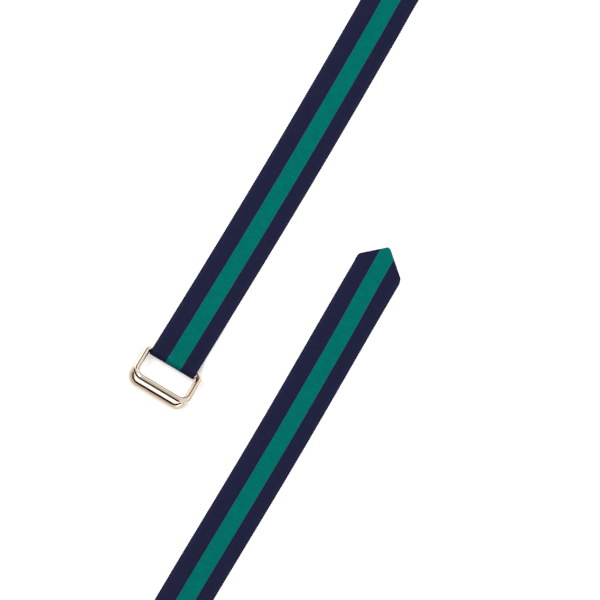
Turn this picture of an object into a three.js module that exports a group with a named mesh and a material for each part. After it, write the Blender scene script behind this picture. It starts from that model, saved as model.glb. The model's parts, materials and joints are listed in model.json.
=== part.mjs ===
// Grosgrain ribbon belt with two D-rings, laid out on a table. Millimetres, +Z up, the table top is z = 0.
// The ribbon is one strap. Its buckle end is folded round the straight bars of both rings, its other end is
// cut to a point. Both ends lie flat and face up, side by side. The length between them stands on its edge,
// as a long ribbon does where it turns, and comes back to the pointed end in one wide right-hand loop.
// +Y runs from the rings along the buckle stretch and +X is to its right.

import * as THREE from "three";

// Ribbon
const ribbonWidth = 30;
const ribbonThickness = 1;

// D-rings: a round wire bent to a rounded oblong, one straight side of which is the hinge bar
const ringInnerWidth = 32.3;
const ringInnerDepth = 19.4;
const wireDiameter = 3.7;
const hingeCornerRadius = 3.4; // to the middle of the wire, at both ends of the hinge bar
const freeCornerRadius = 5.7; // to the middle of the wire, at both ends of the free bar
const upperRingLift = 40.6; // degrees that the upper ring leans up from level
const upperRingShift = 0.3; // each ring has drifted a little to one side in the fold
const lowerRingShift = -0.6;

// Fold that holds the rings
const barClearance = 0.4; // between a hinge bar and the ribbon round it
const ringGap = 0.3; // between the two hinge bars, one above the other
const tailLength = 28; // ribbon turned back under the strap, behind the bars
const layerGap = 0.25; // between the tail and the strap sewn on top of it
const foldSlope = 40; // degrees, where the strap comes down behind the bars
const slopeFootRadius = 8;
const tailRampLength = 14; // the strap comes down off the end of the tail

// Layout of the flat stretches, measured along the middle of the ribbon
const buckleStretchLength = 265; // from the hinge bars to where the strap starts to tip up
const tipStretchLength = 254; // from where the strap lies flat again to the point
const stretchSpacing = 76.6; // from the middle of one stretch to the middle of the other
const tipReach = 123.6; // how far the point lies ahead of the hinge bars
const stretchSplay = 0.25; // degrees that the second stretch leans left of the first
const buckleStretchBow = 1.4; // both stretches bow a little to the right
const tipStretchBow = 0.8;
const bowFade = 32; // the buckle stretch's bow fades out over its last part

// Loop between the stretches. Its turns are to the right and ease in and out.
const twistLength = 80; // over which the strap tips from flat to on edge
const twistLead = 10; // from where it starts to tip to where it starts to turn
const exitTurn = 146; // degrees
const exitTurnLength = 205;
const cornerTurn = 80; // degrees
const cornerTurnLength = 240;
const returnTurnLength = 135;

// Point of the strap, cut by hand and a little out of the middle
const pointLength = 16.5;

// Steps of the facets
const wireSides = 12;
const cornerSteps = 6;
const foldStep = 15; // degrees
const flatStep = 24;
const turnStep = 8;

// What follows from the sizes above
const wireRadius = wireDiameter / 2;
const ringDepth = ringInnerDepth + wireDiameter; // between the middles of the two bars
const ringWidth = ringInnerWidth + wireDiameter; // between the middles of the two side wires
const foldRadius = wireRadius + barClearance + ribbonThickness / 2;
const lowerBarHeight = ribbonThickness + barClearance + wireRadius;
const upperBarHeight = lowerBarHeight + wireDiameter + ringGap;
const degree = Math.PI / 180;
const lowerRingDrop = Math.asin((lowerBarHeight - wireRadius) / ringDepth); // its free bar lies on the table

// The left and right edges near the point. back is a share of pointLength behind the very tip,
// left and right are shares of half the ribbon's width from its middle.
const pointOutline = [
  { back: 1, left: -1, right: 1 },
  { back: 0.83, left: -1, right: 0.947 },
  { back: 0.72, left: -0.987, right: 0.887 },
  { back: 0.68, left: -0.97, right: 0.833 },
  { back: 0.024, left: -0.155, right: -0.025 },
  { back: 0, left: -0.115, right: -0.07 },
];

// An ease from 0 to 1: three times the share squared, less twice the share cubed.
function ease(share) {
  const s = Math.min(1, Math.max(0, share));
  return s * s * (3 - 2 * s);
}

// How far the buckle stretch lies to the right of a straight line: a sine from the bars to its end,
// eased to nothing over the fade. The tail under it follows it.
function buckleBowAt(y) {
  const share = Math.min(1, Math.max(0, y / buckleStretchLength));
  return buckleStretchBow * Math.sin(Math.PI * share) * ease((buckleStretchLength - y) / bowFade);
}

// One section of the ribbon: its middle, the direction across it and the direction out of its face.
function section(middle, across, face, left = -1, right = 1) {
  return { middle, across, face, left, right };
}

// The fold, from the end of the tail to the flat strap. Each row is a straight of some length or an arc,
// with a positive turn where the ribbon curls round the bars.
function foldSections() {
  const sewnHeight = ribbonThickness * 1.5 + layerGap;
  const slope = foldSlope * degree;
  const topOfSlope = upperBarHeight + foldRadius * Math.cos(slope);
  const footDrop = slopeFootRadius * (1 - Math.cos(slope));
  const slopeLength = (topOfSlope - sewnHeight - footDrop) / Math.sin(slope);
  const slopeEnd =
    (foldRadius + slopeFootRadius) * Math.sin(slope) + slopeLength * Math.cos(slope);
  const rows = [
    { straight: tailLength },
    { radius: foldRadius, turn: 90 },
    { straight: upperBarHeight - lowerBarHeight },
    { radius: foldRadius, turn: 90 + foldSlope },
    { straight: slopeLength },
    { radius: slopeFootRadius, turn: -foldSlope },
    { straight: tailLength - slopeEnd },
  ];
  const across = new THREE.Vector3(1, 0, 0);
  const sections = [];
  let y = tailLength;
  let z = ribbonThickness / 2;
  let pitch = Math.PI; // direction of travel: pi is along -Y, half of it is up, 0 is along +Y
  const put = () => {
    const face = new THREE.Vector3(0, -Math.sin(pitch), Math.cos(pitch));
    sections.push(section(new THREE.Vector3(buckleBowAt(y), y, z), across, face));
  };
  put();
  for (const row of rows) {
    if (row.straight) {
      y += row.straight * Math.cos(pitch);
      z += row.straight * Math.sin(pitch);
      put();
      continue;
    }
    const steps = Math.ceil(Math.abs(row.turn) / foldStep);
    const bend = (row.turn * degree) / steps;
    const chord = 2 * row.radius * Math.sin(Math.abs(bend) / 2);
    for (let i = 0; i < steps; i++) {
      y += chord * Math.cos(pitch - bend / 2);
      z += chord * Math.sin(pitch - bend / 2);
      pitch -= bend;
      put();
    }
  }
  const drop = sewnHeight - ribbonThickness / 2;
  const rampSteps = 5;
  for (let i = 1; i <= rampSteps; i++) {
    const share = i / rampSteps;
    const steep = (drop / tailRampLength) * 6 * share * (1 - share);
    const face = new THREE.Vector3(0, steep, 1).normalize();
    const height = sewnHeight - drop * ease(share);
    const rampY = tailLength + tailRampLength * share;
    const middle = new THREE.Vector3(buckleBowAt(rampY), rampY, height);
    sections.push(section(middle, across, face));
  }
  return sections;
}

// One run of the strap seen from above, from its own start with its own start heading as +Y. The heading
// eases from 0 to the turn. Returns a row for each step: x, y, the heading and the length so far.
function walk(run) {
  const steps = Math.max(1, Math.ceil(run.length / (run.turn || run.bank ? turnStep : flatStep)));
  const stride = run.length / steps;
  const rows = [];
  let x = 0;
  let y = 0;
  for (let i = 0; i < steps; i++) {
    const heading = run.turn * ease((i + 0.5) / steps);
    x += stride * Math.sin(heading);
    y += stride * Math.cos(heading);
    rows.push({ x, y, heading: run.turn * ease((i + 1) / steps), along: (i + 1) * stride });
  }
  return rows;
}

// The straight runs between the three turns have the lengths that bring the strap back to its second
// stretch: two lengths from two equations, one in x and one in y.
function loopRuns() {
  const fullTurn = 360 - stretchSplay;
  const exit = { length: exitTurnLength, turn: exitTurn * degree };
  const corner = { length: cornerTurnLength, turn: cornerTurn * degree };
  const back = { length: returnTurnLength, turn: (fullTurn - exitTurn - cornerTurn) * degree };
  const spun = (run, heading) => {
    const end = walk(run).at(-1);
    return new THREE.Vector2(end.x, end.y).rotateAround(new THREE.Vector2(), -heading);
  };
  const fixed = spun(exit, 0)
    .add(spun(corner, exit.turn))
    .add(spun(back, exit.turn + corner.turn));
  const lead = buckleStretchLength + twistLead;
  const lastHeading = fullTurn * degree;
  const lastLength = tipStretchLength + twistLead;
  const goal = new THREE.Vector2(
    stretchSpacing - lastLength * Math.sin(lastHeading),
    tipReach - lastLength * Math.cos(lastHeading) - lead,
  ).sub(fixed);
  const sideHeading = exit.turn;
  const backHeading = exit.turn + corner.turn;
  const across = Math.sin(sideHeading - backHeading);
  const sideLength = (goal.x * Math.cos(backHeading) - goal.y * Math.sin(backHeading)) / across;
  const backLength = (goal.y * Math.sin(sideHeading) - goal.x * Math.cos(sideHeading)) / across;
  return [
    { length: twistLead, turn: 0, bank: true },
    exit,
    { length: sideLength, turn: 0 },
    corner,
    { length: backLength, turn: 0 },
    back,
    { length: twistLead, turn: 0, bank: true },
  ];
}

// Puts the runs end to end from the end of the ramp to the point, seen from above.
function planRows() {
  const flatStart = tailLength + tailRampLength;
  const firstLength = buckleStretchLength - flatStart;
  const lastLength = tipStretchLength - pointLength;
  const tipBowAt = (distance) => tipStretchBow * Math.sin((Math.PI * distance) / lastLength) ** 2;
  const runs = [
    { length: firstLength, turn: 0, bowAt: (distance) => buckleBowAt(distance + flatStart) },
    ...loopRuns(),
    { length: lastLength, turn: 0, bowAt: tipBowAt },
  ];
  const rows = [];
  let x = 0;
  let y = flatStart;
  let heading = 0;
  let along = 0;
  for (const run of runs) {
    const steps = walk(run);
    for (const step of steps) {
      const bow = run.bowAt ? run.bowAt(step.along) : 0;
      rows.push({
        x: x + (step.x + bow) * Math.cos(heading) + step.y * Math.sin(heading),
        y: y - (step.x + bow) * Math.sin(heading) + step.y * Math.cos(heading),
        heading: heading + step.heading,
        along: along + step.along,
      });
    }
    const last = steps.at(-1);
    x += last.x * Math.cos(heading) + last.y * Math.sin(heading);
    y += last.y * Math.cos(heading) - last.x * Math.sin(heading);
    heading += last.heading;
    along += run.length;
  }
  return { rows, flatUntil: firstLength, flatFrom: along - tipStretchLength + pointLength };
}

// The sections from the ramp to the point. The bank is 0 where the strap lies flat and a right angle
// where it stands on its right edge; the lowest edge always lies on the table.
function stretchSections() {
  const { rows, flatUntil, flatFrom } = planRows();
  const sections = rows.map((row) => {
    const tippedUp = ease((row.along - flatUntil) / twistLength);
    const laidDown = ease((flatFrom - row.along) / twistLength);
    const bank = (Math.PI / 2) * Math.min(tippedUp, laidDown);
    const right = new THREE.Vector3(Math.cos(row.heading), -Math.sin(row.heading), 0);
    const across = right.clone().multiplyScalar(Math.cos(bank));
    across.z = -Math.sin(bank);
    const face = right.clone().multiplyScalar(Math.sin(bank));
    face.z = Math.cos(bank);
    const height = (ribbonThickness * Math.cos(bank) + ribbonWidth * Math.sin(bank)) / 2;
    return section(new THREE.Vector3(row.x, row.y, height), across, face);
  });
  const last = sections.at(-1);
  const forward = new THREE.Vector3().crossVectors(last.face, last.across);
  for (const row of pointOutline.slice(1)) {
    const ahead = forward.clone().multiplyScalar((1 - row.back) * pointLength);
    sections.push(section(last.middle.clone().add(ahead), last.across, last.face, row.left, row.right));
  }
  return sections;
}

// A closed body from rings of points: consecutive rings are joined by quads, and the ends are closed
// by fans, or joined to each other where the body is a loop.
function bodyFromRings(rings, isLoop) {
  const sides = rings[0].length;
  const index = [];
  const spans = isLoop ? rings.length : rings.length - 1;
  for (let i = 0; i < spans; i++) {
    for (let j = 0; j < sides; j++) {
      const next = ((i + 1) % rings.length) * sides;
      const a = i * sides + j;
      const b = i * sides + ((j + 1) % sides);
      const c = next + ((j + 1) % sides);
      const d = next + j;
      index.push(a, d, c, a, c, b);
    }
  }
  if (!isLoop) {
    const end = (rings.length - 1) * sides;
    for (let j = 1; j < sides - 1; j++) {
      index.push(0, j, j + 1, end, end + j + 1, end + j);
    }
  }
  const geometry = new THREE.BufferGeometry();
  const points = rings.flat().flatMap((point) => point.toArray());
  geometry.setAttribute("position", new THREE.Float32BufferAttribute(points, 3));
  geometry.setIndex(index);
  geometry.computeVertexNormals();
  return geometry;
}

// The whole strap: each section is an oblong, as wide as the ribbon there and as thick as the ribbon.
function strapGeometry() {
  const corners = [
    ["left", -1],
    ["right", -1],
    ["right", 1],
    ["left", 1],
  ];
  const rings = [...foldSections(), ...stretchSections()].map((at) =>
    corners.map(([edge, side]) =>
      at.middle
        .clone()
        .addScaledVector(at.across, (at[edge] * ribbonWidth) / 2)
        .addScaledVector(at.face, (side * ribbonThickness) / 2),
    ),
  );
  return bodyFromRings(rings, false);
}

// A ring in its own frame: the hinge bar runs along X through the origin, the free bar is at -Y.
// Each corner row gives the middle of its arc, its radius and the direction in which the arc starts.
function ringGeometry() {
  const hinge = ringWidth / 2 - hingeCornerRadius;
  const free = ringWidth / 2 - freeCornerRadius;
  const corners = [
    { x: hinge, y: -hingeCornerRadius, radius: hingeCornerRadius, from: 90 },
    { x: free, y: freeCornerRadius - ringDepth, radius: freeCornerRadius, from: 0 },
    { x: -free, y: freeCornerRadius - ringDepth, radius: freeCornerRadius, from: -90 },
    { x: -hinge, y: -hingeCornerRadius, radius: hingeCornerRadius, from: 180 },
  ];
  const rings = [];
  for (const corner of corners) {
    for (let i = 0; i <= cornerSteps; i++) {
      const angle = (corner.from - (90 * i) / cornerSteps) * degree;
      const out = new THREE.Vector3(Math.cos(angle), Math.sin(angle), 0);
      const middle = new THREE.Vector3(corner.x, corner.y, 0).addScaledVector(out, corner.radius);
      const ring = [];
      for (let j = 0; j < wireSides; j++) {
        const turn = ((j + 0.5) * 2 * Math.PI) / wireSides;
        const point = middle.clone().addScaledVector(out, wireRadius * Math.cos(turn));
        point.z -= wireRadius * Math.sin(turn);
        ring.push(point);
      }
      rings.push(ring);
    }
  }
  return bodyFromRings(rings, true);
}

const navyRibbon = new THREE.MeshStandardMaterial({
  color: 0x24243e,
  roughness: 0.85,
  metalness: 0,
});
const paleGoldPlate = new THREE.MeshStandardMaterial({
  color: 0xd9c4a8,
  roughness: 0.15,
  metalness: 1,
});

const belt = new THREE.Group();

const strap = new THREE.Mesh(strapGeometry(), navyRibbon);
strap.name = "ribbon_strap";
belt.add(strap);

const rings = [
  { name: "lower_d_ring", height: lowerBarHeight, shift: lowerRingShift, pitch: lowerRingDrop },
  { name: "upper_d_ring", height: upperBarHeight, shift: upperRingShift, pitch: -upperRingLift * degree },
];
for (const row of rings) {
  const ring = new THREE.Mesh(ringGeometry(), paleGoldPlate.clone());
  ring.name = row.name;
  ring.position.set(row.shift, 0, row.height);
  ring.rotation.x = row.pitch;
  belt.add(ring);
}

// The part's origin is on the table, under the middle of the whole belt.
const middle = new THREE.Box3().setFromObject(belt, true).getCenter(new THREE.Vector3());
belt.position.set(-middle.x, -middle.y, 0);

export default belt;
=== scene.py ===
import json
import math

import bpy
import numpy as np
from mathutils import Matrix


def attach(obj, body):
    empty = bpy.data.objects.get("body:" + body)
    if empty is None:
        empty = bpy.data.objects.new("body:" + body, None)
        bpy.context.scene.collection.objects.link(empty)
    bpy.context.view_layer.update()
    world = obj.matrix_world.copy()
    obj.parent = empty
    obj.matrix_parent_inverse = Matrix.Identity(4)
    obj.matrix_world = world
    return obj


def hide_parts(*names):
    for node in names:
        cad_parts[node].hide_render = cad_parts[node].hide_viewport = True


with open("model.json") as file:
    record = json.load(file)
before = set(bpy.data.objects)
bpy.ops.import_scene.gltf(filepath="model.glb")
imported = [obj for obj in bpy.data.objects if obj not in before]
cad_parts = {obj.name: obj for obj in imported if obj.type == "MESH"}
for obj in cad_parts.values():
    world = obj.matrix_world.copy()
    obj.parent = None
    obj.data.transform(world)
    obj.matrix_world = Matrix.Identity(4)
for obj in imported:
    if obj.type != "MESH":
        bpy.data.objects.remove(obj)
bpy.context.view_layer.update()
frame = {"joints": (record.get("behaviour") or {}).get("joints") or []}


# The view, the table and the light
#
# The belt lies on a plain white table in a white tent. It is seen from straight above, turned a third of a
# right angle, under soft light that comes mostly from the upper left of the view. Narrow cards beside the
# polished rings are seen only in the rings' reflections, where they paint dark lines and highlights.

view_centre = (-0.09582, -0.01058)
view_width = 0.3571
camera_height = 12.0  # far enough away for an almost parallel view
strap_lean = math.radians(30.76)  # how far the strap leans to the right of upright in the view

camera_data = bpy.data.cameras.new("camera")
camera_data.sensor_width = 36
camera_data.lens = camera_data.sensor_width * camera_height / view_width
camera_data.clip_end = 50
camera = bpy.data.objects.new("camera", camera_data)
camera.location = (*view_centre, camera_height)
camera.rotation_euler = (0, 0, strap_lean)
bpy.context.collection.objects.link(camera)
bpy.context.scene.camera = camera
bpy.context.scene.view_settings.view_transform = "Standard"


def new_material(name):
    """A new material and its main shader."""
    material = bpy.data.materials.new(name)
    material.use_nodes = True
    return material, material.node_tree.nodes["Principled BSDF"]


table_top = -0.00005  # just under the ribbon, so that the two faces don't meet
table_half = 4.0
table_glow = 0.21  # the table is lit a little from below
corners = np.array([(-1, -1, 0), (1, -1, 0), (1, 1, 0), (-1, 1, 0)]) * table_half
table_mesh = bpy.data.meshes.new("table")
table_mesh.from_pydata((corners + (0, 0, table_top)).tolist(), [], [(0, 1, 2, 3)])
table = bpy.data.objects.new("table", table_mesh)
bpy.context.collection.objects.link(table)
table_white, shader = new_material("table_white")
shader.inputs["Base Color"].default_value = (0.88, 0.88, 0.885, 1)
shader.inputs["Roughness"].default_value = 0.7
shader.inputs["Specular IOR Level"].default_value = 0.2
shader.inputs["Emission Color"].default_value = (1, 1, 1, 1)
shader.inputs["Emission Strength"].default_value = table_glow
table_mesh.materials.append(table_white)

# The room: a white tent, a little dimmer at the table's edge and dimmest where the camera looks in.
tent_by_height = [  # sine of the height above the horizon, brightness
    (0.0, 0.94),
    (0.30, 1.0),
    (0.78, 1.0),
    (0.93, 0.80),
    (0.985, 0.58),
]
world = bpy.data.worlds.new("tent")
world.use_nodes = True
bpy.context.scene.world = world
tent = world.node_tree
direction = tent.nodes.new("ShaderNodeTexCoord")
parts = tent.nodes.new("ShaderNodeSeparateXYZ")
tones = tent.nodes.new("ShaderNodeValToRGB")
tent.links.new(direction.outputs["Generated"], parts.inputs[0])
tent.links.new(parts.outputs["Z"], tones.inputs["Fac"])
tent.links.new(tones.outputs["Color"], tent.nodes["Background"].inputs["Color"])
while len(tones.color_ramp.elements) < len(tent_by_height):
    tones.color_ramp.elements.new(1.0)
for stop, (height, tone) in zip(tones.color_ramp.elements, tent_by_height):
    stop.position = height
    stop.color = (tone, tone, tone * 1.01, 1)  # a trace cooler than white
tent.nodes["Background"].inputs["Strength"].default_value = 1.0

# One large round lamp beside the camera.
key_distance = 1.6
key_height = math.radians(66)
key_way = math.radians(165)  # seen from above, from +X towards +Y
key_data = bpy.data.lights.new("key_light", "AREA")
key_data.shape = "DISK"
key_data.size = 0.7
key_data.energy = 14
key = bpy.data.objects.new("key_light", key_data)
key.location = (
    view_centre[0] + key_distance * math.cos(key_height) * math.cos(key_way),
    view_centre[1] + key_distance * math.cos(key_height) * math.sin(key_way),
    key_distance * math.sin(key_height),
)
key.rotation_euler = (0, math.pi / 2 - key_height, key_way)
key.visible_camera = False
bpy.context.collection.objects.link(key)

# The cards paint reflections: they are seen only in the polished rings, never by the camera, in diffuse
# light or in shadows. Brown ones paint dark reflected lines along the free bars, grey, white and bright
# ones the reflected lines along the side wires of the raised ring. The white and bright ones glow, though
# they are no lamps, to paint reflected highlights.
joint_at = {joint["name"]: np.array(joint["pos_m"]) for joint in frame["joints"]}
upper_ring_lift = math.radians(40.6)
card_cloths = {}
for tone, color, glow in (
    ("brown", (0.060, 0.022, 0.002, 1), 0.0),
    ("grey", (0.160, 0.128, 0.104, 1), 0.0),
    ("white", (0.900, 0.900, 0.900, 1), 0.45),
    ("bright", (0.900, 0.900, 0.900, 1), 1.30),
):
    card_cloths[tone], shader = new_material("card_" + tone)
    shader.inputs["Base Color"].default_value = color
    shader.inputs["Roughness"].default_value = 1.0
    shader.inputs["Specular IOR Level"].default_value = 0.0
    shader.inputs["Emission Color"].default_value = (1, 1, 1, 1)
    shader.inputs["Emission Strength"].default_value = glow


def stand_card(name, tone, foot, top):
    """A strip of quads between two rows of points, foot and top, which are given from the middle of the
    upper ring's hinge bar."""
    points = np.concatenate([foot, top]) + joint_at["upper_ring_swing"]
    first = np.arange(len(foot) - 1)
    quads = np.stack([first, first + 1, first + 1 + len(foot), first + len(foot)], 1)
    card_mesh = bpy.data.meshes.new(name)
    card_mesh.from_pydata(points.tolist(), [], quads.tolist())
    card_mesh.materials.append(card_cloths[tone])
    card = bpy.data.objects.new(name, card_mesh)
    bpy.context.collection.objects.link(card)
    card.visible_camera = False
    card.visible_diffuse = False
    card.visible_shadow = False


low_line = np.array([  # across and along, inside the lower ring
    (0.0135, -0.0160),
    (0.0130, -0.0186),
    (0.0112, -0.0202),
    (-0.0118, -0.0202),
    (-0.0140, -0.0190),
    (-0.0148, -0.0165),
])
low_foot, low_top = -0.0066, 0.0006
high_line = np.array([  # across and along, outside the upper ring, with the height of foot and top
    (0.0165, -0.0216, 0.0142, 0.0210),
    (0.0130, -0.0222, 0.0142, 0.0228),
    (-0.0120, -0.0222, 0.0142, 0.0228),
    (-0.0175, -0.0208, 0.0130, 0.0216),
    (-0.0208, -0.0180, 0.0112, 0.0196),
    (-0.0222, -0.0145, 0.0088, 0.0170),
])
stand_card(
    "low_card", "brown",
    np.insert(low_line, 2, low_foot, axis=1),
    np.insert(low_line, 2, low_top, axis=1),
)
stand_card("high_card", "brown", high_line[:, [0, 1, 2]], high_line[:, [0, 1, 3]])
fold_side_foot = np.array([(-0.0150, -0.0138, 0.0072), (0.0150, -0.0138, 0.0072)])
fold_side_height = (0, 0, 0.0074)
stand_card("fold_side_card", "white", fold_side_foot, fold_side_foot + fold_side_height)

down_wire = np.array([0, math.cos(upper_ring_lift), -math.sin(upper_ring_lift)])
off_ring = np.array([0, math.sin(upper_ring_lift), math.cos(upper_ring_lift)])
wire_ends = np.array([[0.007], [-0.019]]) * down_wire
left_wire, right_wire = -0.01735, 0.01865  # where the raised side wires are across the belt
side_cards = (  # name, cloth, wire, then foot and top: how far off the ring and to the wire's right
    ("left_grey_card", "grey", left_wire, (0.0046, -0.0036), (0.0067, -0.0011)),
    ("left_white_card", "white", left_wire, (0.0068, 0.0012), (0.0052, 0.0036)),
    ("right_grey_card", "grey", right_wire, (0.0027, -0.0047), (0.0060, -0.0025)),
    ("right_white_card", "white", right_wire, (0.0068, 0.0012), (0.0052, 0.0036)),
    ("left_outer_card", "bright", left_wire, (-0.0042, -0.0002), (0.0010, -0.0040)),
    ("right_inner_card", "white", right_wire, (-0.0006, -0.0050), (0.0019, -0.0053)),
)
for name, tone, wire_x, foot, top in side_cards:
    rows = [wire_ends + off * off_ring + (wire_x + beside, 0, 0) for off, beside in (foot, top)]
    stand_card(name, tone, *rows)


# The ribbon strap
#
# One length of striped grosgrain, about 1.5 m long: thick cords across, covered by fine warp yarns, navy
# with a green band. One end is folded round the rings' straight bars and sewn, the other is cut to a point
# and sealed with heat. The long middle part stands on its edge where the belt turns back on itself.

mm = 0.001
ribbon_width = 30 * mm
ribbon_thickness = 1.0 * mm
cord_pitch = 1.3 * mm  # from one cord of the weave to the next
cord_groove = 0.09 * mm  # how deep the weave dips between two cords
selvedge_notch = 0.34 * mm  # how far the edge steps in between two cords
cord_overhang = 0.1 * mm  # of the cords' ends, besides half the notch
full_width = ribbon_width + selvedge_notch + 2 * cord_overhang
steps_per_cord = 4

wire_radius = 1.85 * mm
bar_clearance = 0.4 * mm  # of the fold round the bars
bar_spacing = 4.0 * mm  # from the lower hinge bar up to the upper one
tail_length = 28 * mm
layer_gap = 0.25 * mm
fold_slope = math.radians(40)
slope_foot_radius = 8 * mm
tail_ramp_length = 14 * mm

buckle_stretch = 265 * mm  # flat on the table, from the bars on
tip_stretch = 254 * mm  # flat again, up to the tip
stretch_spacing = 76.5 * mm  # from the one stretch across to the other
tip_reach = 123.85 * mm  # how far the tip lies ahead of the bars
buckle_bow, tip_bow = 1.4 * mm, 0.8 * mm
bow_fade = 32 * mm  # the first bow fades out over the end of its stretch
full_turn = math.radians(360 - 0.25)  # the two stretches are a quarter of a degree out of parallel
twist_length = 80 * mm
twist_lead = 10 * mm
exit_turn, exit_length = math.radians(146), 205 * mm
corner_turn, corner_length = math.radians(80), 240 * mm
return_turn, return_length = full_turn - exit_turn - corner_turn, 135 * mm

point_length = 16.5 * mm
# The cut of the point: share of its length behind the very tip, then the left and the right edge as
# shares of half the ribbon's width from its middle.
point_cut = np.array([
    (0.0, -0.125, -0.055),
    (0.022, -0.155, 0.0),
    (0.060, -0.2, 0.055),
    (0.68, -0.94, 0.838),
    (0.71, -0.965, 0.887),
    (0.76, -0.988, 0.925),
    (0.84, -1.0, 0.955),
    (1.0, -1.0, 1.0),
])

belt_x, belt_y, upper_bar_height = joint_at["upper_ring_swing"]


def ease(share):
    """From 0 to 1: three times the share squared, less twice the share cubed."""
    s = np.clip(share, 0, 1)
    return s * s * (3 - 2 * s)


def turned(length, turn, heading):
    """Where a run of that length ends if its heading eases through the turn: the mean of its direction
    over 4000 even steps, times its length, turned clockwise by the heading at which it starts."""
    angle = turn * ease((np.arange(4000) + 0.5) / 4000) + heading
    return length * np.array([np.sin(angle).mean(), np.cos(angle).mean()])


# The two straight runs of the loop have the lengths that close it: two lengths from two equations.
ahead = np.array([np.sin(full_turn), np.cos(full_turn)])
goal = np.array([stretch_spacing, tip_reach]) - (tip_stretch + twist_lead) * ahead
goal -= (0, buckle_stretch + twist_lead)
goal -= turned(exit_length, exit_turn, 0)
goal -= turned(corner_length, corner_turn, exit_turn)
goal -= turned(return_length, return_turn, exit_turn + corner_turn)
side_heading = exit_turn
back_heading = exit_turn + corner_turn
side_and_back = np.array([
    [np.sin(side_heading), np.sin(back_heading)],
    [np.cos(side_heading), np.cos(back_heading)],
])
side_length, back_length = np.linalg.solve(side_and_back, goal)

# The fold in profile, from the end of the tail to the ramp's foot: length of each run, and the pitch at
# which it ends. Half a turn is along -Y, a right angle is straight up, nothing is along +Y.
fold_radius = wire_radius + bar_clearance + ribbon_thickness / 2
sewn_height = 1.5 * ribbon_thickness + layer_gap
slope_drop = upper_bar_height + fold_radius * math.cos(fold_slope) - sewn_height
slope_drop -= slope_foot_radius * (1 - math.cos(fold_slope))
slope_length = slope_drop / math.sin(fold_slope)
slope_end = (fold_radius + slope_foot_radius) * math.sin(fold_slope)
slope_end += slope_length * math.cos(fold_slope)
right_angle = math.pi / 2
fold_runs = np.array([
    (tail_length, math.pi),
    (fold_radius * right_angle, right_angle),
    (bar_spacing, right_angle),
    (fold_radius * (right_angle + fold_slope), -fold_slope),
    (slope_length, -fold_slope),
    (slope_foot_radius * fold_slope, 0),
    (tail_length - slope_end, 0),
])
fold_ends = np.concatenate([[0], np.cumsum(fold_runs[:, 0])])
fold_pitches = np.concatenate([[math.pi], fold_runs[:, 1]])
ramp_from = fold_ends[-1]
plan_from = ramp_from + tail_ramp_length
flat_until = plan_from + buckle_stretch - tail_length - tail_ramp_length
exit_from = flat_until + twist_lead
corner_from = exit_from + exit_length + side_length
return_from = corner_from + corner_length + back_length
flat_from = return_from + return_length + twist_lead
ribbon_length = flat_from + tip_stretch
ramp_drop = sewn_height - ribbon_thickness / 2


def strap_path(along):
    """The middle of the ribbon and its three directions at evenly spaced lengths along it. The heading is
    the sum of the three eased turns, the pitch runs straight between the ends of the fold's runs, and the
    middle adds up the direction from step to step. The bank eases to a right angle on the loop, and the
    lower edge stays on the table. The flat stretches bow a little to the right, as a sine and a sine
    squared, and the tail follows the strap over it."""
    step = along[1] - along[0]

    def heading_at(s):
        return (
            exit_turn * ease((s - exit_from) / exit_length)
            + corner_turn * ease((s - corner_from) / corner_length)
            + return_turn * ease((s - return_from) / return_length)
        )

    def pitch_at(s):
        share = np.clip((s - ramp_from) / tail_ramp_length, 0, 1)
        ramp = -np.arctan(ramp_drop / tail_ramp_length * 6 * share * (1 - share))
        return np.interp(s, fold_ends, fold_pitches) + ramp

    def direction_at(s):
        heading, pitch = heading_at(s), pitch_at(s)
        return np.stack(
            [np.sin(heading) * np.cos(pitch), np.cos(heading) * np.cos(pitch), np.sin(pitch)], 1
        )

    strides = direction_at(along[:-1] + step / 2) * step
    middle = np.concatenate([np.zeros((1, 3)), np.cumsum(strides, 0)])
    middle += (belt_x, belt_y + tail_length, ribbon_thickness / 2)
    forward = direction_at(along)
    heading = heading_at(along)
    right = np.stack([np.cos(heading), -np.sin(heading), np.zeros_like(heading)], 1)
    up = np.cross(right, forward)
    tipped_up = ease((along - flat_until) / twist_length)
    laid_down = ease((flat_from - along) / twist_length)
    bank = (right_angle * np.minimum(tipped_up, laid_down))[:, None]
    across = np.cos(bank) * right - np.sin(bank) * up
    face = np.cos(bank) * up + np.sin(bank) * right
    ahead_of_bars = np.where(along < flat_until, middle[:, 1] - belt_y, buckle_stretch)
    first = np.clip(ahead_of_bars / buckle_stretch, 0, 1)
    last = np.clip((along - flat_from) / (tip_stretch - point_length), 0, 1)
    bow = buckle_bow * np.sin(np.pi * first) * ease((buckle_stretch - ahead_of_bars) / bow_fade)
    bow += tip_bow * np.sin(np.pi * last) ** 2
    middle += right * bow[:, None]
    on_table = along > plan_from
    rest = (ribbon_thickness * np.cos(bank) + full_width * np.sin(bank))[:, 0] / 2
    middle[on_table, 2] = rest[on_table]
    return middle, across, face


def closed_tube(name, rings, material, loop=False):
    """A mesh object from an array of rings of points: ring by ring, each point is joined to the next one
    round and to its like on the next ring. The ends are closed by one face each, or joined in a loop."""
    count, sides = rings.shape[:2]
    spans = count if loop else count - 1
    i, j = np.meshgrid(np.arange(spans), np.arange(sides), indexing="ij")
    a = i * sides + j
    b = i * sides + (j + 1) % sides
    c = ((i + 1) % count) * sides + (j + 1) % sides
    d = ((i + 1) % count) * sides + j
    faces = np.stack([a, d, c, b], -1).reshape(-1, 4).tolist()
    if not loop:
        faces.append(list(range(sides)))
        faces.append(list(range((count - 1) * sides, count * sides))[::-1])
    mesh = bpy.data.meshes.new(name)
    mesh.from_pydata(rings.reshape(-1, 3).tolist(), [], faces)
    mesh.polygons.foreach_set("use_smooth", np.ones(len(faces), bool))
    mesh.materials.append(material)
    thing = bpy.data.objects.new(name, mesh)
    bpy.context.collection.objects.link(thing)
    return thing


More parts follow.
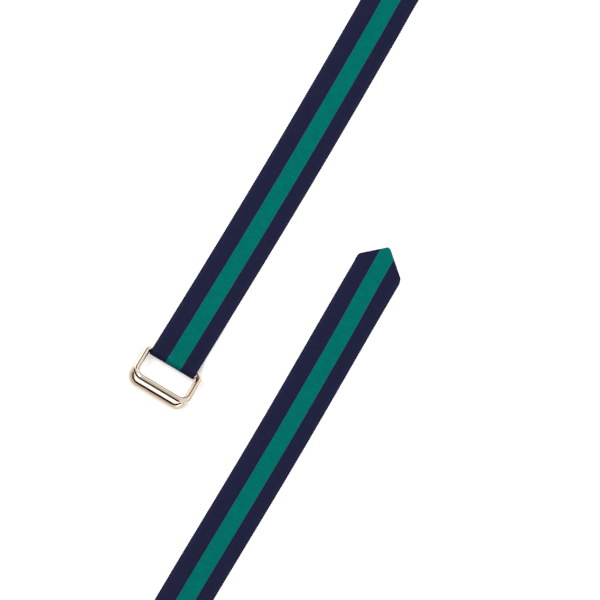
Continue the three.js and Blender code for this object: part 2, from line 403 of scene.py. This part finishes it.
class Nodes:
    """A short way to write a node tree: each method adds a node."""

    def __init__(self, tree):
        self.tree = tree

    def plug(self, socket, value):
        """Link an output to the socket, or set the socket to a constant."""
        if isinstance(value, bpy.types.NodeSocket):
            self.tree.links.new(value, socket)
        else:
            socket.default_value = value

    def add(self, kind, inputs=(), **settings):
        """A node of any kind."""
        node = self.tree.nodes.new(kind)
        for name, value in settings.items():
            setattr(node, name, value)
        for socket, value in dict(inputs).items():
            self.plug(node.inputs[socket], value)
        return node

    def math(self, operation, *values):
        """The output of one step of arithmetic."""
        node = self.add("ShaderNodeMath", operation=operation)
        for socket, value in zip(node.inputs, values):
            self.plug(socket, value)
        return node.outputs[0]

    def band(self, value, start, end):
        """0 up to start and 1 from end, or the other way round, with a smooth step between."""
        rising = end > start
        node = self.add(
            "ShaderNodeMapRange",
            {"Value": value, "From Min": min(start, end), "From Max": max(start, end),
             "To Min": 0.0 if rising else 1.0, "To Max": 1.0 if rising else 0.0},
            interpolation_type="SMOOTHSTEP",
        )
        return node.outputs["Result"]

    def mix(self, share, first, second, blend="MIX"):
        """A colour between two others by the share, or the two blended."""
        node = self.add(
            "ShaderNodeMix", {"Factor": share}, data_type="RGBA", blend_type=blend
        )
        self.plug(node.inputs[6], first)
        self.plug(node.inputs[7], second)
        return node.outputs[2]

    def grey(self, value):
        """The grey of that value."""
        return self.add(
            "ShaderNodeCombineColor", {"Red": value, "Green": value, "Blue": value}
        ).outputs["Color"]

    def dyed(self, color, vector, scale, depth):
        """The colour with the uneven dye over it."""
        inputs = {"Vector": vector, "Scale": scale, "Depth": depth, "Color": color}
        return self.add("ShaderNodeGroup", inputs, node_tree=dye_group).outputs["Color"]

    def stretched(self, vector, scale):
        """The vector, with each of its parts scaled."""
        return self.add("ShaderNodeMapping", {"Vector": vector, "Scale": scale}).outputs["Vector"]


# Uneven dye: a soft cloud of lighter and darker patches, shared by the ribbon and the thread.
dye_group = bpy.data.node_groups.new("uneven_dye", "ShaderNodeTree")
for label, kind in (("Vector", "NodeSocketVector"), ("Scale", "NodeSocketFloat"),
                    ("Depth", "NodeSocketFloat"), ("Color", "NodeSocketColor")):
    dye_group.interface.new_socket(label, in_out="INPUT", socket_type=kind)
dye_group.interface.new_socket("Color", in_out="OUTPUT", socket_type="NodeSocketColor")
dye = Nodes(dye_group)
dye_in = dye.add("NodeGroupInput")
dye_out = dye.add("NodeGroupOutput")
cloud = dye.add(
    "ShaderNodeTexNoise",
    {"Vector": dye_in.outputs["Vector"], "Scale": dye_in.outputs["Scale"], "Detail": 4.0,
     "Roughness": 0.6},
)
swing = dye.math("SUBTRACT", cloud.outputs["Fac"], 0.5)
tone = dye.math("MULTIPLY_ADD", swing, dye_in.outputs["Depth"], 1.0)
toned = dye.mix(1.0, dye_in.outputs["Color"], dye.grey(tone), "MULTIPLY")
dye.plug(dye_out.inputs["Color"], toned)


# Colours of the ribbon.
navy = (0.0112, 0.0100, 0.0305, 1)
navy_near_edge = (0.01366, 0.0122, 0.03721, 1)
navy_edge = (0.0040, 0.0040, 0.0130, 1)
band_green = (0.0002, 0.116, 0.0955, 1)
border_plum = (0.0180, 0.0035, 0.0270, 1)
# painted shade for the fold's front, where the ribbon turns down round the bars
painted_fold_shade = (0.001, 0.0015, 0.002, 1)

# Where they lie, in millimetres across from the middle or along from the end of the tail.
green_from, green_to = -4.2, 5.9
border_width = 0.5
color_step = 0.12  # half the width of the step from one colour to the next
cords_from, cords_to = 11.8, 13.6  # towards the edges the navy is lighter and the painted shade in the grooves is deeper
edge_from, edge_to = 14.35, 14.8  # the darker selvedge
drift, drift_from, drift_to = 0.95, 62, 4  # the stripe runs a little left over the end of the strap
fold_from, fold_to = (27, 30), (37.2, 41.5)  # the turn round the bars, where shade is painted, each end with its own fade
yarn_pitch = 0.46  # from one warp yarn to the next

grosgrain, shader = new_material("striped_grosgrain")
g = Nodes(grosgrain.node_tree)
weave = g.add("ShaderNodeAttribute", attribute_name="weave")  # across and along in mm, cut rim
weave_parts = g.add("ShaderNodeSeparateXYZ", {0: weave.outputs["Vector"]})
across_mm, along_mm, cut_rim = weave_parts.outputs

pitch_mm = cord_pitch / mm
cord_turn = g.math("MULTIPLY", along_mm, 2 * math.pi / pitch_mm)
cord_crest = g.math("MULTIPLY_ADD", g.math("COSINE", cord_turn), 0.5, 0.5)
cord_number = g.math("ROUND", g.math("DIVIDE", along_mm, pitch_mm))
yarn_turn = g.math("MULTIPLY", across_mm, math.pi / yarn_pitch)
yarn_turn = g.math("ADD", yarn_turn, g.math("MULTIPLY", cord_number, math.pi / 2))
yarn_crest = g.math("ABSOLUTE", g.math("COSINE", yarn_turn))

from_middle = g.math("ABSOLUTE", across_mm)
edge_line = g.band(from_middle, edge_from, edge_to)
near_edge = g.band(from_middle, cords_from, cords_to)
length_mm = ribbon_length / mm
near_tip = g.band(along_mm, length_mm - drift_from, length_mm - drift_to)
stripe_mm = g.math("MULTIPLY_ADD", near_tip, drift, across_mm)
on_green = g.math(
    "MULTIPLY",
    g.band(stripe_mm, green_from - color_step, green_from + color_step),
    g.band(stripe_mm, green_to + color_step, green_to - color_step),
)
border_left = g.math("ABSOLUTE", g.math("SUBTRACT", stripe_mm, green_from - border_width / 2))
border_right = g.math("ABSOLUTE", g.math("SUBTRACT", stripe_mm, green_to + border_width / 2))
from_border = g.math("MINIMUM", border_left, border_right)
border = g.band(from_border, border_width * 0.9, border_width * 0.3)

color = g.mix(near_edge, navy, navy_near_edge)
color = g.mix(border, color, border_plum)
color = g.mix(on_green, color, band_green)
color = g.mix(edge_line, color, navy_edge)
sealed_rim = g.math("MULTIPLY", g.math("SUBTRACT", 1.0, on_green), g.band(cut_rim, 0.2, 0.9))
color = g.mix(sealed_rim, color, navy_edge)
weave_place = weave.outputs["Vector"]
color = g.dyed(color, weave_place, scale=0.16, depth=0.30)
color = g.dyed(color, g.stretched(weave_place, (1.9, 0.12, 1)), scale=1.0, depth=0.20)  # yarn by yarn
color = g.dyed(color, g.stretched(weave_place, (0.16, 0.75, 1)), scale=1.0, depth=0.55)  # cord by cord
# Painted shade: the colour is darker in the grooves between cords and between warp yarns and lighter on
# their crests, more so towards the edges.
groove_shade_depth = g.math("MULTIPLY_ADD", near_edge, 1.0, 0.12)
painted_groove_shade = g.math("MULTIPLY_ADD", g.math("SUBTRACT", cord_crest, 0.5), groove_shade_depth, 1.0)
painted_yarn_shade = g.math("MULTIPLY_ADD", yarn_crest, 0.14, 0.92)
painted_weave_shade = g.math("MULTIPLY", painted_groove_shade, painted_yarn_shade)
color = g.mix(1.0, color, g.grey(painted_weave_shade), "MULTIPLY")
fold_shade_mask = g.math("MULTIPLY", g.band(along_mm, *fold_from), g.band(along_mm, *fold_to[::-1]))
color = g.mix(g.math("MULTIPLY", fold_shade_mask, 0.6), color, painted_fold_shade)  # painted shade on the fold's front, where the ribbon turns down round the bars
g.plug(shader.inputs["Base Color"], color)

fibre = g.add("ShaderNodeTexNoise", {"Vector": weave_place, "Scale": 5.5, "Detail": 3.0})
roughness = g.math("MULTIPLY_ADD", fibre.outputs["Fac"], 0.18, 0.68)
roughness = g.math("MULTIPLY_ADD", cut_rim, -0.3, roughness)
g.plug(shader.inputs["Roughness"], roughness)
height = g.math("MULTIPLY_ADD", yarn_crest, 0.5, g.math("MULTIPLY", fibre.outputs["Fac"], 0.5))
bump = g.add("ShaderNodeBump", {"Height": height, "Strength": 0.55, "Distance": 0.00008})
g.plug(shader.inputs["Normal"], bump.outputs["Normal"])
cool_gloss = (0.12, 0.6, 1.0, 1)
shader.inputs["Specular IOR Level"].default_value = 0.08
shader.inputs["Specular Tint"].default_value = cool_gloss
shader.inputs["Sheen Weight"].default_value = 0.03
shader.inputs["Sheen Roughness"].default_value = 0.5
shader.inputs["Sheen Tint"].default_value = (0.35, 0.6, 1.0, 1)

cord_count = round(ribbon_length / cord_pitch)
along = np.linspace(0, ribbon_length, cord_count * steps_per_cord + 1)
middle, across, face = strap_path(along)
crest = 0.5 + 0.5 * np.cos(2 * np.pi * along / cord_pitch)

# One section, from the left edge over the face to the right edge and back under: place across as a share
# of the half width, and height as a share of the half thickness. The selvedges are a little thinner.
selvedge_place, selvedge_height = 0.985, 0.72
face_places = np.array([-selvedge_place, -0.93, -0.5, 0, 0.5, 0.93, selvedge_place])
face_heights = np.array([selvedge_height, 1, 1, 1, 1, 1, selvedge_height])
section = np.concatenate([
    [(-1, 0)],
    np.stack([face_places, face_heights], 1),
    [(1, 0)],
    np.stack([face_places[::-1], -face_heights], 1),
])
behind_tip = (ribbon_length - along) / point_length
half = full_width / 2
notch = selvedge_notch * (1 - crest)
left = np.interp(behind_tip, point_cut[:, 0], point_cut[:, 1]) * half + notch * (behind_tip > 1)
right = np.interp(behind_tip, point_cut[:, 0], point_cut[:, 2]) * half - notch * (behind_tip > 1)
place = left[:, None] + (section[:, 0] + 1) / 2 * (right - left)[:, None]
lift = section[:, 1] * (ribbon_thickness / 2 - cord_groove * (1 - crest))[:, None]
rings = middle[:, None] + across[:, None] * place[..., None] + face[:, None] * lift[..., None]
strap = closed_tube("grosgrain_strap", rings, grosgrain)
cut_until = 0.76  # share of the point's length over which its edges are cut
at_rim = (np.abs(section[:, 0]) >= selvedge_place) & (behind_tip < cut_until)[:, None]
weave_mm = np.stack(
    [place / mm, np.broadcast_to(along[:, None] / mm, place.shape), at_rim.astype(float)], -1
)
weave_data = strap.data.attributes.new("weave", "FLOAT_VECTOR", "POINT")
weave_data.data.foreach_set("vector", weave_mm.ravel())
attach(strap, "strap")
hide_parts("ribbon_strap")


# The stitches of the fold
#
# Two rows of lockstitch go across the strap behind the rings, through the strap and the tail under it. The
# thread is clear nylon, which takes on the ribbon's colours, and it sinks into the grooves between cords.

thread_radius = 0.11 * mm
stitch_length = 2.3 * mm
stitch_gap = 0.45 * mm
stitch_steps, thread_sides = 9, 8
row_places = (14.6 * mm, 24.9 * mm)  # behind the hinge bars

clear_thread, shader = new_material("clear_thread")
t = Nodes(clear_thread.node_tree)
where = t.add("ShaderNodeTexCoord")
where_parts = t.add("ShaderNodeSeparateXYZ", {0: where.outputs["Object"]})
stitch_bow = 0.2 * mm  # how far the strap has bowed where it is sewn
half_step = 0.1 * mm
green_left, green_right = (belt_x + stitch_bow + edge * mm for edge in (green_from, green_to))
over_green = t.math(
    "MULTIPLY",
    t.band(where_parts.outputs["X"], green_left - half_step, green_left + half_step),
    t.band(where_parts.outputs["X"], green_right + half_step, green_right - half_step),
)
thread_color = t.mix(over_green, navy, band_green)
thread_color = t.dyed(thread_color, where.outputs["Object"], scale=900.0, depth=0.3)
t.plug(shader.inputs["Base Color"], thread_color)
strands = t.add("ShaderNodeTexWave",
                {"Vector": where.outputs["Object"], "Scale": 900.0, "Distortion": 0.6},
                wave_type="BANDS", bands_direction="DIAGONAL")
twist = t.add("ShaderNodeBump",
              {"Height": strands.outputs["Fac"], "Strength": 0.6, "Distance": 0.00004})
t.plug(shader.inputs["Normal"], twist.outputs["Normal"])
thread_rough = t.math("MULTIPLY_ADD", strands.outputs["Fac"], 0.2, 0.55)
t.plug(shader.inputs["Roughness"], thread_rough)
shader.inputs["Specular IOR Level"].default_value = 0.08
shader.inputs["Specular Tint"].default_value = cool_gloss

edge_margins = 3 * mm  # both together
stitch_pitch = stitch_length + stitch_gap
stitches_per_row = int((ribbon_width - edge_margins) / stitch_pitch)
starts = (np.arange(stitches_per_row) - (stitches_per_row - 1) / 2) * stitch_pitch


def stitch_rings(centre_x, groove_y, surface_z, outward):
    """The rings of points of one row of stitches, each along X at a groove. The middle line rises out of
    the ribbon as the fourth root of a sine, so that it lies flat and dives in at both ends, and its round
    section thins to a third there. Outward is 1 on the strap's face and -1 under the tail."""
    share = np.linspace(0.02, 0.98, stitch_steps)
    rise = np.sin(np.pi * share) ** 0.25
    turn = outward * np.arange(thread_sides) * 2 * np.pi / thread_sides
    radius = (thread_radius * (0.35 + 0.65 * rise))[:, None]
    x = centre_x + starts[:, None, None] + (share[None, :, None] - 0.5) * stitch_length
    y = groove_y + radius * np.cos(turn)
    z = surface_z + outward * (rise - 1)[:, None] * 3 * thread_radius + radius * np.sin(turn)
    return np.stack(np.broadcast_arrays(x, y, z), -1)


# Each stitch is closed by quads round and along it and by one face at each end.
step_number, side_number = np.meshgrid(
    np.arange(stitch_steps - 1), np.arange(thread_sides), indexing="ij"
)
this_side = step_number * thread_sides + side_number
next_side = step_number * thread_sides + (side_number + 1) % thread_sides
quads = np.stack(
    [this_side, next_side, next_side + thread_sides, this_side + thread_sides], -1
).reshape(-1, 4)
ends = np.stack([
    np.arange(thread_sides)[::-1],
    np.arange(thread_sides) + (stitch_steps - 1) * thread_sides,
])
rows = []
over_bars = fold_ends[4]  # where the ribbon comes down again from the upper bar
on_top = (along > over_bars) & (along < flat_until)
for row_y in row_places:
    near = np.argmin(np.abs(middle[:, 1] - (belt_y + row_y)) + ~on_top)
    groove = (round(along[near] / cord_pitch - 0.5) + 0.5) * cord_pitch
    at = np.argmin(np.abs(along - groove))
    top = middle[at, 2] + ribbon_thickness / 2 - cord_groove + 0.2 * thread_radius
    for surface, outward in ((top, 1), (cord_groove + 0.1 * thread_radius, -1)):
        rows.append(stitch_rings(middle[at, 0], middle[at, 1], surface, outward))
points = np.concatenate(rows)
first = (np.arange(len(points)) * stitch_steps * thread_sides)[:, None, None]
stitch_faces = (first + quads).reshape(-1, 4).tolist()
stitch_faces += (first + ends).reshape(-1, thread_sides).tolist()
stitch_mesh = bpy.data.meshes.new("fold_stitches")
stitch_mesh.from_pydata(points.reshape(-1, 3).tolist(), [], stitch_faces)
stitch_mesh.polygons.foreach_set("use_smooth", np.ones(len(stitch_faces), bool))
stitch_mesh.materials.append(clear_thread)
stitches = bpy.data.objects.new("fold_stitches", stitch_mesh)
bpy.context.collection.objects.link(stitches)
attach(stitches, "strap")


# The two rings
#
# Each ring is one length of round steel wire, bent to a rounded oblong, butted in the middle of its hinge
# bar and plated pale gold. Both hang in the fold by their hinge bars. The lower ring lies on the table,
# the upper one leans up over it.

ring_width = 36.0 * mm  # between the middles of the side wires
ring_depth = 23.1 * mm  # between the middles of the two bars
hinge_corner_radius = 3.4 * mm
free_corner_radius = 5.7 * mm
upper_ring_shift, lower_ring_shift = 0.65 * mm, -0.45 * mm  # each has drifted a little in the fold
lower_ring_drop = math.asin((joint_at["lower_ring_swing"][2] - wire_radius) / ring_depth)
butt_depth = 0.1 * mm  # of the seam where the wire's ends meet
butt_width = 0.25 * mm
bend_flattening = 0.04 * mm  # of the wire on the outside of a bend

plate, shader = new_material("pale_gold_plate")
p = Nodes(plate.node_tree)
where = p.add("ShaderNodeTexCoord")
bath = p.add("ShaderNodeTexNoise",
             {"Vector": where.outputs["Object"], "Scale": 160.0, "Detail": 3.0})
pale_gold, deeper_gold = (0.800, 0.680, 0.565, 1), (0.760, 0.632, 0.515, 1)
gold = p.mix(bath.outputs["Fac"], pale_gold, deeper_gold)
p.plug(shader.inputs["Base Color"], gold)
rub = p.add("ShaderNodeTexNoise",
            {"Vector": where.outputs["Object"], "Scale": 900.0, "Detail": 5.0, "Roughness": 0.7})
p.plug(shader.inputs["Roughness"], p.math("MULTIPLY_ADD", rub.outputs["Fac"], 0.12, 0.05))
hairlines = p.stretched(where.outputs["Object"], (300, 2600, 2600))
scratch = p.add("ShaderNodeTexNoise", {"Vector": hairlines, "Scale": 1.0, "Detail": 2.0})
polish = p.add("ShaderNodeBump",
               {"Height": scratch.outputs["Fac"], "Strength": 0.12, "Distance": 0.00001})
p.plug(shader.inputs["Normal"], polish.outputs["Normal"])
shader.inputs["Metallic"].default_value = 1.0


def ring_rings(hinge, lift):
    """The rings of points of one D-ring. Its middle line goes round four quarter circles joined by
    straights, as a rounded oblong whose hinge bar is at y = 0. Each section is a circle, a little flatter
    on the outside of a bend, and the seam dips as a bell curve in the middle of the hinge bar. The whole
    leans up by the lift about the hinge bar, which lies at the hinge's point."""
    corner_steps, bar_steps, sides = 20, 25, 40
    hinge_x = ring_width / 2 - hinge_corner_radius
    free_x = ring_width / 2 - free_corner_radius
    corners = [
        (hinge_x, -hinge_corner_radius, hinge_corner_radius, right_angle),
        (free_x, free_corner_radius - ring_depth, free_corner_radius, 0),
        (-free_x, free_corner_radius - ring_depth, free_corner_radius, -right_angle),
        (-hinge_x, -hinge_corner_radius, hinge_corner_radius, math.pi),
    ]
    path, outward, bend = [], [], []
    for x, y, radius, start in corners:
        angle = start - right_angle * np.linspace(0, 1, corner_steps + 1)
        out = np.stack([np.cos(angle), np.sin(angle)], 1)
        path.append(np.array([x, y]) + radius * out)
        outward.append(out)
        bend.append(np.sin(np.pi * np.linspace(0, 1, corner_steps + 1)) ** 2)
    seam_reach = 1.2 * mm
    seam_x = np.linspace(-seam_reach, seam_reach, bar_steps)
    path.append(np.stack([seam_x, np.zeros(bar_steps)], 1))
    outward.append(np.tile([0.0, 1.0], (bar_steps, 1)))
    bend.append(np.zeros(bar_steps))
    path, outward, bend = map(np.concatenate, (path, outward, bend))
    seam = np.exp(-((path[:, 0] / butt_width) ** 2)) * (np.abs(path[:, 1]) < wire_radius)
    turn = np.arange(sides) * 2 * np.pi / sides
    radius = wire_radius - butt_depth * seam[:, None] - bend_flattening * bend[:, None] * np.cos(turn)
    flat = path[:, None] + outward[:, None] * (radius * np.cos(turn))[..., None]
    low = -radius * np.sin(turn)
    y = flat[..., 1] * math.cos(lift) + low * math.sin(lift)
    z = -flat[..., 1] * math.sin(lift) + low * math.cos(lift)
    return np.stack([flat[..., 0], y, z], -1) + hinge


for name, joint, shift, lift in (
    ("lower_d_ring", "lower_ring_swing", lower_ring_shift, -lower_ring_drop),
    ("upper_d_ring", "upper_ring_swing", upper_ring_shift, upper_ring_lift),
):
    rings = ring_rings(joint_at[joint] + (shift, 0, 0), lift)
    ring = closed_tube(name.replace("d_ring", "wire_ring"), rings, plate, loop=True)
    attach(ring, joint.replace("_swing", ""))
    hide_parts(name)
